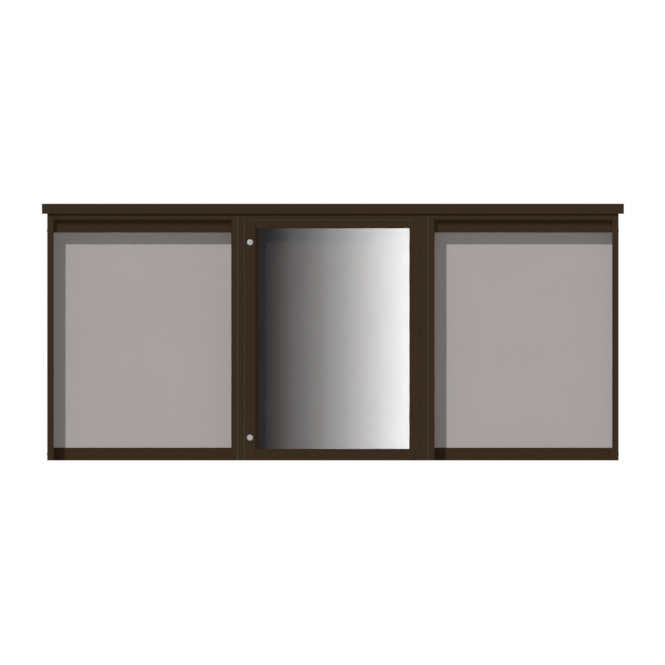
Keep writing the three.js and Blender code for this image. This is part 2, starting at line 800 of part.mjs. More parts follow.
// Glass with a gasket strip and a bead at each of its four edges.
function addGlazing(door) {
  const glass = rectangle(
    stileFace + glassEdgeGap,
    rebateFoot + glassEdgeGap,
    rebateRight - glassEdgeGap,
    rebateTop - glassEdgeGap,
    glassEdgeGap,
  );
  piece(door, "glass_pane", alongY(glass, [], glassFront, glassBack), clearGlass);

  const gasketFront = rebateDepth + fit;
  const gasketBack = glassFront - fit;
  const strip = (low) => rectangle(low, gasketFront, low + gasketWidth, gasketBack, gasketRadius);
  const foot = sightFoot - gasketSetback - gasketWidth;
  const top = sightTop + gasketSetback + gasketWidth;
  const sides = { left: sightLeft - gasketSetback - gasketWidth, right: sightRight + gasketSetback };
  for (const [name, low] of Object.entries(sides)) {
    piece(door, `glass_gasket_${name}`, alongZ(strip(low), [], foot, top), blackRubber);
  }
  const upright = (low) => rectangle(gasketFront, low, gasketBack, low + gasketWidth, gasketRadius);
  const x0 = sides.left + gasketWidth + fit;
  const x1 = sides.right - fit;
  for (const [name, low] of [["top", top - gasketWidth], ["bottom", foot]]) {
    piece(door, `glass_gasket_${name}`, alongX(upright(low), [], x0, x1), blackRubber);
  }

  const beadFront = glassBack + fit;
  const beadBack = doorThickness - fit;
  const bead = (seat, sight) => {
    const slope = Math.sign(seat - sight) * beadChamfer;
    return [
      [seat, beadFront],
      [sight, beadFront],
      [sight, beadBack - beadChamfer],
      [sight + slope, beadBack],
      [seat, beadBack],
    ];
  };
  const lower = rebateFoot + fit;
  const upper = rebateTop - fit;
  const uprights = { left: [stileFace + fit, sightLeft], right: [rebateRight - fit, sightRight + fit] };
  for (const [name, [seat, sight]] of Object.entries(uprights)) {
    const strip = alongZ(outline(bead(seat, sight)), [], lower, upper);
    piece(door, `glazing_bead_${name}`, strip, brownPowderCoat);
  }
  const rows = { top: [upper, sightTop + fit], bottom: [lower, sightFoot - fit] };
  for (const [name, [seat, sight]] of Object.entries(rows)) {
    const section = outline(bead(seat, sight).map(([along, depth]) => [depth, along]));
    const strip = alongX(section, [], sightLeft + fit, sightRight);
    piece(door, `glazing_bead_${name}`, strip, brownPowderCoat);
  }
}

// A flanged bush for the stile's bore. foot is the flange's outer face, turn points into the stile.
function bush(foot, turn) {
  const inner = pinRadius + runningFit;
  const outer = inner + bushWall;
  const under = foot + turn * bushFlange;
  const profile = [
    [inner, foot],
    [outer + bushFlangeReach, foot],
    [outer + bushFlangeReach, under],
    [outer, under],
    [outer, foot + turn * bushLength],
    [inner, foot + turn * bushLength],
    [inner, foot],
  ];
  return turnedUpright(turn > 0 ? profile : profile.reverse()).translate(pivotX, pivotDepth, 0);
}

// Lower pivot: a plate in the slot of the bottom rail, with the pin that carries the door.
function pivotBracket() {
  const plate = rectangle(
    bracketSide - bracketWidth,
    bracketSetback,
    bracketSide,
    seatDepth + bracketSlotDepth - fit,
    bracketRadius,
  );
  const foot = bracketSlotFloor + fit;
  const pin = turnedUpright([
    [0, bracketTop - bracketThickness / 2],
    [pinRadius, bracketTop - bracketThickness / 2],
    [pinRadius, bracketTop + pinLength],
    [0, bracketTop + pinLength],
  ]).translate(pivotX, pivotDepth, 0);
  return join(alongZ(plate, [], foot, bracketTop), pin);
}

// Upper pivot: a shouldered pin whose stud goes up into the head.
function pivotPin() {
  const shoulderFoot = doorTop + 2 * fit + bushFlange;
  const shoulderTop = lipBottom - fit;
  return turnedUpright([
    [0, shoulderFoot - pinLength],
    [pinRadius, shoulderFoot - pinLength],
    [pinRadius, shoulderFoot],
    [shoulderRadius, shoulderFoot],
    [shoulderRadius, shoulderTop],
    [studRadius, shoulderTop],
    [studRadius, shoulderTop + studLength],
    [0, shoulderTop + studLength],
  ]).translate(pivotX, pivotDepth, 0);
}

// One cam lock, built round its own axis with Y = 0 on the door's front face.
function addLock(door, name, height) {
  const fixed = new THREE.Group();
  const turning = new THREE.Group();
  for (const group of [fixed, turning]) {
    group.position.set(lockX, 0, height);
    door.add(group);
  }
  const bore = lockPlugRadius + runningFit;
  const barrelEnd = camFront - 2 * fit;
  const housing = turned([
    [bore, -lockFaceProud],
    [lockFaceRadius - lockFaceChamfer, -lockFaceProud],
    [lockFaceRadius, lockFaceChamfer - lockFaceProud],
    [lockFaceRadius, -fit],
    [lockBarrelRadius, -fit],
    [lockBarrelRadius, barrelEnd],
    [bore, barrelEnd],
    [bore, -lockFaceProud],
  ], faceSteps);
  piece(fixed, `${name}_lock_housing`, housing, nickel);

  const nutFront = doorThickness + fit;
  const hexagon = circle(0, 0, nutAcross / Math.sqrt(3), 6);
  const nutBore = circle(0, 0, lockBarrelRadius + fit, faceSteps);
  const nut = alongY(hexagon, [nutBore], nutFront, nutFront + nutThickness);
  piece(fixed, `${name}_lock_nut`, nut, nickel);

  const plugFace = lockPlugRecess - lockFaceProud;
  const shoulder = camFront - fit;
  const plug = turned([
    [0, plugFace],
    [lockPlugRadius, plugFace],
    [lockPlugRadius, shoulder],
    [0, shoulder],
  ], faceSteps);
  const half = camTail / 2;
  const tail = block(-half, half, shoulder - camTail, camBack, -half, half);
  const keyHalf = keywayWidth / 2;
  const keyway = block(
    -keyHalf,
    keyHalf,
    plugFace - cutOver,
    plugFace + keywayDepth,
    -keywayHeight / 2,
    keywayHeight / 2,
  );
  const screwStart = camBack + fit;
  const tapped = turned([
    [0, screwStart - camScrewLength - fit],
    [camScrewRadius + fit, screwStart - camScrewLength - fit],
    [camScrewRadius + fit, camBack + cutOver],
    [0, camBack + cutOver],
  ]);
  piece(turning, `${name}_lock_plug`, cut(join(plug, tail), keyway, tapped), nickel);

  const arm = outline([
    [-camHalfWidth, camHubReach, camHubRadius],
    [camHalfWidth, camHubReach, camHubRadius],
    [camHalfWidth, -camLength, camTipRadius],
    [-camHalfWidth, -camLength, camTipRadius],
  ]);
  const square = rectangle(-half - fit, -half - fit, half + fit, half + fit);
  piece(turning, `${name}_lock_cam`, alongY(arm, [square], camFront, camBack), zincSteel);

  const screw = turned([
    [0, screwStart - camScrewLength],
    [camScrewRadius, screwStart - camScrewLength],
    [camScrewRadius, screwStart],
    [camScrewHeadRadius, screwStart],
    [camScrewHeadRadius, screwStart + camScrewHeadHeight / 2],
    [camScrewHeadRadius / 2, screwStart + camScrewHeadHeight],
    [0, screwStart + camScrewHeadHeight],
  ]);
  const socket = alongY(
    circle(0, 0, camScrewSocket, 6),
    [],
    screwStart + camScrewHeadHeight / 3,
    screwStart + camScrewHeadHeight + cutOver,
  );
  piece(turning, `${name}_lock_cam_screw`, cut(screw, socket), zincSteel);
}

const board = new THREE.Group();
addCase(board, "left_case", -1, false);
addCase(board, "centre_case", 0, true);
addCase(board, "right_case", 1, false);
addSplines(board);
addRoof(board);
addWallRails(board);
addStops(board);
addSeals(board);
piece(board, "lower_pivot_bracket", pivotBracket(), blackSteel);
piece(board, "upper_pivot_pin", pivotPin(), blackSteel);

const door = new THREE.Group();
board.add(door);
addDoorFrame(door);
addGlazing(door);
piece(door, "lower_pivot_bush", bush(bracketTop + fit, 1), blackNylon);
piece(door, "upper_pivot_bush", bush(doorTop + fit + bushFlange, -1), blackNylon);
for (const [name, height] of Object.entries(lockHeights)) addLock(door, name, height);

// The frame's origin is where the upper wall rail's back face meets the wall, half way along it.
board.position.set(0, -wallPlane, -upperRailHeight);
const part = new THREE.Group();
part.add(board);

export default part;
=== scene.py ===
import json
import logging
import math
from collections.abc import Callable, Iterator, Sequence
from contextlib import contextmanager
from dataclasses import dataclass, replace
from enum import Enum
from typing import Any, ClassVar

import bmesh
import bpy
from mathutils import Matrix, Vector


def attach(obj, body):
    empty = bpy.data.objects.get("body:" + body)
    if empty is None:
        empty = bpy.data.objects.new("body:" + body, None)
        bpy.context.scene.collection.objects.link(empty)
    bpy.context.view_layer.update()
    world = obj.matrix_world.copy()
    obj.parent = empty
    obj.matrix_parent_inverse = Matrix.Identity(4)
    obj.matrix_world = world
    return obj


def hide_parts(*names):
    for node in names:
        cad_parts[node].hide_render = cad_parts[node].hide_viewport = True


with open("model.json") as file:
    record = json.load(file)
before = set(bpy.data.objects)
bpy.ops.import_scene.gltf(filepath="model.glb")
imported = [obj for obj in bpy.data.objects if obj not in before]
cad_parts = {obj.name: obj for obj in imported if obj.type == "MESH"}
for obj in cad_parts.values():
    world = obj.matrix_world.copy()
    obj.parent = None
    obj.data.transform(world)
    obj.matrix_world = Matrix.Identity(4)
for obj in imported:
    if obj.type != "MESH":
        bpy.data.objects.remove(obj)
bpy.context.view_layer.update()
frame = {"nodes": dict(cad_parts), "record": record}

log = logging.getLogger("notice_board")

MM = 0.001
IMAGE_WIDTH = 665
PIXEL_MM = 3.9375  # one pixel of the photograph on the object
WALL_FACE_MM = 110.0  # the wall behind the case front, which is at depth 0
FOOT_MM = -860.0  # underside of the cases, seen from the upper wall rail
TOUCH_MM = 0.01  # places closer than this are the same place
ALIGNED = 0.99  # a direction counts as along an axis from this cosine
OVERSHOOT_MM = 1.0  # how far a cutting tool stands out of the piece
SIDES = (("left", -1), ("right", 1))
WHITE = (1.0, 1.0, 1.0, 1.0)

Triple = tuple[float, float, float]
Tree = bpy.types.NodeTree
Node = bpy.types.Node
Socket = bpy.types.NodeSocket
Test = Callable[[Vector, Vector], bool]


def at(x: float, depth: float, height: float) -> Triple:
    """Turn a place on the board into the frame's millimetres.

    Args:
        x: distance to the right of the board's middle, in mm.
        depth: distance behind the front of the cases, in mm.
        height: distance above the underside of the cases, in mm.

    Returns:
        The place in the frame, in mm.
    """
    return (x, depth - WALL_FACE_MM, height + FOOT_MM)


def metres(sizes: Sequence[float]) -> list[float]:
    """Turn millimetres into metres."""
    return [size * MM for size in sizes]


def linear(colour: str) -> tuple[float, float, float, float]:
    """Turn an sRGB hex colour into the linear values that a shader takes.

    Args:
        colour: such as "#A5A09E".

    Returns:
        Red, green, blue and an alpha of 1.
    """
    parts = [int(colour[i:i + 2], 16) / 255 for i in (1, 3, 5)]
    r, g, b = (c / 12.92 if c <= 0.04045 else ((c + 0.055) / 1.055) ** 2.4 for c in parts)
    return (r, g, b, 1.0)


def feed(node: Node, inputs: dict[str | int, Any]) -> None:
    """Give a node's inputs their values, or the outputs that feed them.

    Args:
        node: the node.
        inputs: for each input, its value or the output that feeds it.
    """
    for key, value in inputs.items():
        if isinstance(value, Socket):
            node.id_data.links.new(value, node.inputs[key])
        else:
            node.inputs[key].default_value = value


def add_node(
    tree: Tree, kind: str, inputs: dict[str | int, Any] | None = None, **settings: Any
) -> Node:
    """Add one shader node, with its settings and links.

    Args:
        tree: the node tree that the node goes into.
        kind: Blender's name of the node, such as "ShaderNodeBump".
        inputs: for each input, the value it has or the output that feeds it.
        **settings: the node's own options.

    Returns:
        The new node.
    """
    made = tree.nodes.new(kind)
    for option, value in settings.items():
        setattr(made, option, value)
    feed(made, inputs or {})
    return made


def new_material(name: str) -> bpy.types.Material:
    """Make a material that is drawn with nodes.

    Args:
        name: the material's name.

    Returns:
        The new material.
    """
    made = bpy.data.materials.new(name)
    made.use_nodes = True
    return made


def work_out(tree: Tree, operation: str, *values: Socket | float) -> Socket:
    """Add a Math node for an operation, and return its output."""
    node = add_node(tree, "ShaderNodeMath", dict(enumerate(values)), operation=operation)
    return node.outputs["Value"]


def spread(tree: Tree, mask: Socket, low: float, high: float) -> Socket:
    """Let a mask, which runs from 0 to 1, run from low to high instead."""
    node = add_node(tree, "ShaderNodeMapRange", {"Value": mask, "To Min": low, "To Max": high})
    return node.outputs["Result"]


class Body(Enum):
    """The moving bodies of the model."""

    BOARD = "board"
    DOOR = "door"
    UPPER_LOCK = "upper_lock"
    LOWER_LOCK = "lower_lock"


class Slot(Enum):
    """The record's material slots."""

    POWDER_COAT = "powder_coat"
    DISPLAY_PANEL = "display_panel"
    FELT = "felt"
    GLASS = "glass"
    RUBBER = "rubber"
    NICKEL = "nickel"
    ZINC_STEEL = "zinc_steel"
    PLAIN_ALUMINIUM = "plain_aluminium"
    GALVANISED = "galvanised"
    BLACK_STEEL = "black_steel"
    NYLON = "nylon"


class Axis(Enum):
    """The way that a round piece points, as the turn of an upright one."""

    X = (0.0, math.pi / 2, 0.0)
    Y = (math.pi / 2, 0.0, 0.0)


class Surface:
    """The material of one finish, while the marks of the real surface are added to it.

    A mask is an output that runs from 0 to 1.
    """

    def __init__(self, finish: "Finish") -> None:
        """Start from the plain values of a finish.

        Args:
            finish: the finish that the material is for.
        """
        self.colour = linear(finish.colour)
        self.roughness = finish.roughness
        self.material = new_material(finish.title)
        self.tree = self.material.node_tree
        self.shader = self.tree.nodes["Principled BSDF"]
        plain = {"Base Color": self.colour, "Roughness": self.roughness}
        coat = {"Metallic": finish.metallic, "Specular IOR Level": finish.specular}
        feed(self.shader, plain | coat)
        self.place = add_node(self.tree, "ShaderNodeTexCoord").outputs["Object"]

    def noise(self, size_mm: float, detail: float, **others: Any) -> Socket:
        """Add a noise.

        Args:
            size_mm: the size of its marks.
            detail: how many finer layers lie on them.
            **others: its other inputs, where they differ from a plain noise.

        Returns:
            Its mask.
        """
        inputs = {"Vector": self.place, "Scale": 1 / (size_mm * MM), "Detail": detail}
        return add_node(self.tree, "ShaderNodeTexNoise", inputs | others).outputs["Fac"]

    def drawn_out(self, shares: Triple, turn: float = 0.0) -> Socket:
        """Draw out the marks of a noise.

        Args:
            shares: how many times longer a mark gets along each axis.
            turn: the angle of these axes about the depth, in degrees.

        Returns:
            The output for the noise's "Vector".
        """
        return add_node(
            self.tree,
            "ShaderNodeMapping",
            {"Vector": self.place, "Rotation": (0.0, math.radians(turn), 0.0), "Scale": shares},
            vector_type="TEXTURE",
        ).outputs["Vector"]

    def blend(self, main: Socket, times: float, other: Socket) -> Socket:
        """Return the mean of two masks, of which the first counts so many times."""
        total = work_out(self.tree, "MULTIPLY_ADD", main, times, other)
        return work_out(self.tree, "DIVIDE", total, times + 1)

    def tint(self, mask: Socket, darker: float, lighter: float) -> None:
        """Let the colour's brightness run between two shares of itself.

        Args:
            mask: where it is darker, at 0, and lighter, at 1.
            darker: the share at 0.
            lighter: the share at 1.
        """
        share = spread(self.tree, mask, darker, lighter)
        toned = add_node(
            self.tree, "ShaderNodeHueSaturation", {"Value": share, "Color": self.colour}
        )
        feed(self.shader, {"Base Color": toned.outputs["Color"]})

    def gloss(self, mask: Socket, smoother: float, rougher: float) -> None:
        """Let the roughness run from so much below its plain value to so much above it."""
        low, high = self.roughness - smoother, self.roughness + rougher
        feed(self.shader, {"Roughness": spread(self.tree, mask, low, high)})

    def relief(self, height: Socket, depth_mm: float, strength: float) -> None:
        """Let the light show a fine relief.

        Args:
            height: a mask, 0 where it is low.
            depth_mm: how deep the relief is.
            strength: how much of it shows.
        """
        bump = add_node(
            self.tree,
            "ShaderNodeBump",
            {"Height": height, "Distance": depth_mm * MM, "Strength": strength},
        )
        feed(self.shader, {"Normal": bump.outputs["Normal"]})


@dataclass(frozen=True)
class Finish:
    """A finish, with the plain values that its shader starts from.

    Attributes:
        title: the name of the real finish.
        colour: its sRGB colour.
        roughness: from 0, a mirror, to 1.
        metallic: 1 for bare metal.
        specular: strength of the reflection of a coat or a plastic.
    """

    title: str
    colour: str
    roughness: float
    metallic: float = 0.0
    specular: float = 0.5

    def material(self) -> bpy.types.Material:
        """Make the material of this finish, or return the one made before.

        Returns:
            The material.
        """
        known = bpy.data.materials.get(self.title)
        if known:
            return known
        surface = Surface(self)
        self.pattern(surface)
        return surface.material

    def pattern(self, surface: Surface) -> None:
        """Add the marks that the real surface shows."""
        raise NotImplementedError


@dataclass(frozen=True)
class PowderCoat(Finish):
    """Matt polyester powder of fine structure, sprayed and baked on aluminium.

    The eye gets an even, deep brown with a fine grain, a soft, broad sheen and a slow orange
    peel. The real grain is about 0.4 mm and the peel 2 mm wide. Both are drawn coarser so that
    they show.
    """

    grain_mm: float = 1.3
    peel_mm: float = 6.0
    cloud_mm: float = 260.0
    grain_tone: float = 4.0  # against the clouds
    grain_height: float = 0.7  # against the peel

    def pattern(self, surface: Surface) -> None:
        """Add the grain, the orange peel and the faint clouds of the sprayed coat.

        Args:
            surface: the material that gets the marks.
        """
        cloud = surface.noise(self.cloud_mm, detail=3.0)
        grain = surface.noise(self.grain_mm, detail=2.0)
        peel = surface.noise(self.peel_mm, detail=1.5)
        surface.tint(surface.blend(grain, self.grain_tone, cloud), darker=0.6, lighter=1.4)
        surface.gloss(cloud, smoother=0.06, rougher=0.06)
        skin = work_out(surface.tree, "MULTIPLY_ADD", grain, self.grain_height, peel)
        surface.relief(skin, depth_mm=0.25, strength=0.6)


@dataclass(frozen=True)
class PanelCoat(Finish):
    """Coil-coated aluminium sheet with a fine pearl grain.

    The eye gets a quiet grey-beige face without gloss, on which pinned sheets stand out.
    The real grain is under 1 mm. It is drawn coarser so that it shows.
    """

    grain_mm: float = 2.0
    cloud_mm: float = 340.0

    def pattern(self, surface: Surface) -> None:
        """Add the grain of the coat and the slow change in tone across a sheet.

        Args:
            surface: the material that gets the marks.
        """
        cloud = surface.noise(self.cloud_mm, detail=2.0)
        grain = surface.noise(self.grain_mm, detail=3.0)
        surface.tint(surface.blend(grain, 1.0, cloud), darker=0.94, lighter=1.06)
        surface.relief(grain, depth_mm=0.1, strength=0.5)


@dataclass(frozen=True)
class Felt(Finish):
    """Needled polyester felt, glued on soft board.

    The eye gets a dark, dull face with a fibrous nap that swallows the light. The fibres are
    drawn many times thicker than they are.
    """

    fibre_length: float = 13.0
    fibre_thickness: float = 2.2
    turns: Triple = (20.0, 85.0, 145.0)
    curl: float = 0.7

    def pattern(self, surface: Surface) -> None:
        """Add fibres that lie and curl in three directions, and the nap's sheen.

        Args:
            surface: the material that gets the marks.
        """
        feed(surface.shader, {"Sheen Weight": 0.04, "Sheen Roughness": 0.6})
        shares = (self.fibre_length / self.fibre_thickness, 1.0, 1.0)
        nap: Socket | float = 0.0
        for turn in self.turns:
            laid = surface.drawn_out(shares, turn)
            fibres = surface.noise(
                self.fibre_thickness, detail=3.0, Vector=laid, Distortion=self.curl
            )
            nap = work_out(surface.tree, "MAXIMUM", nap, fibres)
        surface.tint(nap, darker=0.0, lighter=1.72)
        surface.relief(nap, depth_mm=0.6, strength=0.7)


@dataclass(frozen=True)
class ToughenedGlass(Finish):
    """Clear float glass, toughened, polished at the edge.

    The eye gets sharp reflections and a breath of dust where a cloth doesn't reach.
    """

    dust_mm: float = 180.0

    def pattern(self, surface: Surface) -> None:
        """Add clear passage for light and the faint clouds of dust."""
        feed(surface.shader, {"Transmission Weight": 1.0, "IOR": 1.5})
        surface.tint(surface.noise(self.dust_mm, detail=4.0), darker=0.96, lighter=1.0)


@dataclass(frozen=True)
class Rubber(Finish):
    """Extruded EPDM.

    The eye gets a dull, dark strip with the faint bloom that such rubber has.
    """

    bloom_mm: float = 22.0
    skin_mm: float = 1.5

    def pattern(self, surface: Surface) -> None:
        """Add the bloom and a fine skin.

        Args:
            surface: the material that gets the marks.
        """
        surface.tint(surface.noise(self.bloom_mm, detail=4.0), darker=0.85, lighter=1.15)
        skin = surface.noise(self.skin_mm, detail=1.0)
        surface.relief(skin, depth_mm=0.03, strength=0.3)


@dataclass(frozen=True)
class SatinNickel(Finish):
    """Nickel plate on die-cast zinc, satined on a lathe.

    The eye gets a soft silver disc with fine rings round the key's axis.

    Attributes:
        centre_mm: a point on the axis of the rings, in the frame.
        ring_mm: the distance between two rings, drawn coarser than the real 0.1 mm.
    """

    centre_mm: Triple = (0.0, 0.0, 0.0)
    ring_mm: float = 0.9

    def pattern(self, surface: Surface) -> None:
        """Add the rings of the lathe.

        Args:
            surface: the material that gets the marks.
        """
        moved = add_node(
            surface.tree,
            "ShaderNodeMapping",
            {"Vector": surface.place, "Location": [-c * MM for c in self.centre_mm]},
        )
        wave_length = math.tau / 20  # of the wave texture, at a scale of 1
        rings = add_node(
            surface.tree,
            "ShaderNodeTexWave",
            {
                "Vector": moved.outputs["Vector"],
                "Scale": wave_length / (self.ring_mm * MM),
                "Distortion": 0.6,
                "Detail": 2.0,
            },
            wave_type="RINGS",
            rings_direction="Y",
        ).outputs["Fac"]
        surface.tint(rings, darker=0.94, lighter=1.04)
        surface.gloss(rings, smoother=0.05, rougher=0.07)
        surface.relief(rings, depth_mm=0.02, strength=0.25)


@dataclass(frozen=True)
class ZincSteel(Finish):
    """Stamped and turned steel, zinc-plated and passivated.

    The eye gets a cool grey metal with a breath of straw yellow in patches.
    """

    straw: str = "#A5A296"
    straw_from: float = 0.35  # of the patches' mask
    straw_full: float = 0.7
    patch_mm: float = 7.0
    pore_mm: float = 0.8

    def pattern(self, surface: Surface) -> None:
        """Add the patches of the passivation and the fine pores of the plate.

        Args:
            surface: the material that gets the marks.
        """
        patch = surface.noise(self.patch_mm, detail=3.0)
        tones = add_node(surface.tree, "ShaderNodeValToRGB", {"Fac": patch})
        plain, straw = tones.color_ramp.elements
        plain.position, plain.color = self.straw_from, surface.colour
        straw.position, straw.color = self.straw_full, linear(self.straw)
        feed(surface.shader, {"Base Color": tones.outputs["Color"]})
        pores = surface.noise(self.pore_mm, detail=2.0)
        surface.relief(pores, depth_mm=0.03, strength=0.3)


@dataclass(frozen=True)
class MillAluminium(Finish):
    """Aluminium as it leaves the extrusion die.

    The eye gets a pale, half-dull metal with die lines along the profile, which are drawn wider
    than the real ones.
    """

    line_length: float = 500.0
    line_width: float = 1.6

    def pattern(self, surface: Surface) -> None:
        """Add the die lines.

        Args:
            surface: the material that gets the marks.
        """
        along = surface.drawn_out((self.line_length / self.line_width, 1.0, 1.0))
        lines = surface.noise(self.line_width, detail=3.0, Vector=along)
        surface.tint(lines, darker=0.86, lighter=1.1)
        surface.gloss(lines, smoother=0.08, rougher=0.12)
        surface.relief(lines, depth_mm=0.04, strength=0.4)


@dataclass(frozen=True)
class GalvanisedSheet(Finish):
    """Hot-dip galvanised steel sheet, roll-formed.

    The eye gets grey crystals of about a centimetre, each with its own tone and gloss.
    """

    spangle_mm: float = 11.0

    def pattern(self, surface: Surface) -> None:
        """Add the spangle.

        Args:
            surface: the material that gets the marks.
        """
        crystal = add_node(
            surface.tree,
            "ShaderNodeTexVoronoi",
            {"Vector": surface.place, "Scale": 1 / (self.spangle_mm * MM), "Randomness": 1.0},
        ).outputs
        own = add_node(
            surface.tree, "ShaderNodeSeparateColor", {"Color": crystal["Color"]}
        ).outputs
        surface.tint(own["Red"], darker=0.78, lighter=1.12)
        surface.gloss(own["Green"], smoother=0.14, rougher=0.1)
        surface.relief(crystal["Distance"], depth_mm=0.05, strength=0.3)


@dataclass(frozen=True)
class BlackenedSteel(Finish):
    """Cut steel, chemically blackened and oiled.

    The eye gets a deep grey-black with slightly worn, lighter clouds.
    """

    cloud_mm: float = 9.0

    def pattern(self, surface: Surface) -> None:
        """Add the clouds of the blackening.

        Args:
            surface: the material that gets the marks.
        """
        cloud = surface.noise(self.cloud_mm, detail=5.0)
        surface.tint(cloud, darker=0.7, lighter=1.4)
        surface.gloss(cloud, smoother=0.1, rougher=0.15)


@dataclass(frozen=True)
class MouldedNylon(Finish):
    """Injection-moulded black polyamide.

    The eye gets a half-dull plastic with the fine spark erosion of its mould.
    """

    spark_mm: float = 1.2

    def pattern(self, surface: Surface) -> None:
        """Add the mould's spark erosion.

        Args:
            surface: the material that gets the marks.
        """
        spark = surface.noise(self.spark_mm, detail=2.0)
        surface.tint(spark, darker=0.85, lighter=1.15)
        surface.relief(spark, depth_mm=0.04, strength=0.4)


FINISHES: dict[Slot, Finish] = {
    Slot.POWDER_COAT: PowderCoat("brown_powder_coat", "#34271B", 0.5, specular=0.05),
    Slot.DISPLAY_PANEL: PanelCoat("grey_beige_coil_coat", "#A5A09E", 0.8, specular=0.1),
    Slot.FELT: Felt("anthracite_felt", "#2C2928", 1.0, specular=0.0),
    Slot.GLASS: ToughenedGlass("toughened_float_glass", "#FFFFFF", 0.0),
    Slot.RUBBER: Rubber("black_epdm", "#1B1A1A", 0.8, specular=0.2),
    Slot.NICKEL: SatinNickel("satin_nickel", "#A9AAAA", 0.3, metallic=1.0),
    Slot.ZINC_STEEL: ZincSteel("zinc_plated_steel", "#A2A5A9", 0.38, metallic=1.0),
    Slot.PLAIN_ALUMINIUM: MillAluminium("mill_finish_aluminium", "#B4B6B8", 0.4, metallic=1.0),
    Slot.GALVANISED: GalvanisedSheet("hot_dip_galvanised_steel", "#96999B", 0.55, metallic=1.0),
    Slot.BLACK_STEEL: BlackenedSteel("blackened_steel", "#1E1C1B", 0.45, specular=0.4),
    Slot.NYLON: MouldedNylon("black_moulded_nylon", "#1C1A19", 0.55, specular=0.4),
}
GREY_GASKET = Rubber("grey_epdm", "#464544", 0.8, specular=0.1)
PALE_SEALANT = Rubber("pale_grey_sealant", "#505152", 0.7, specular=0.1)


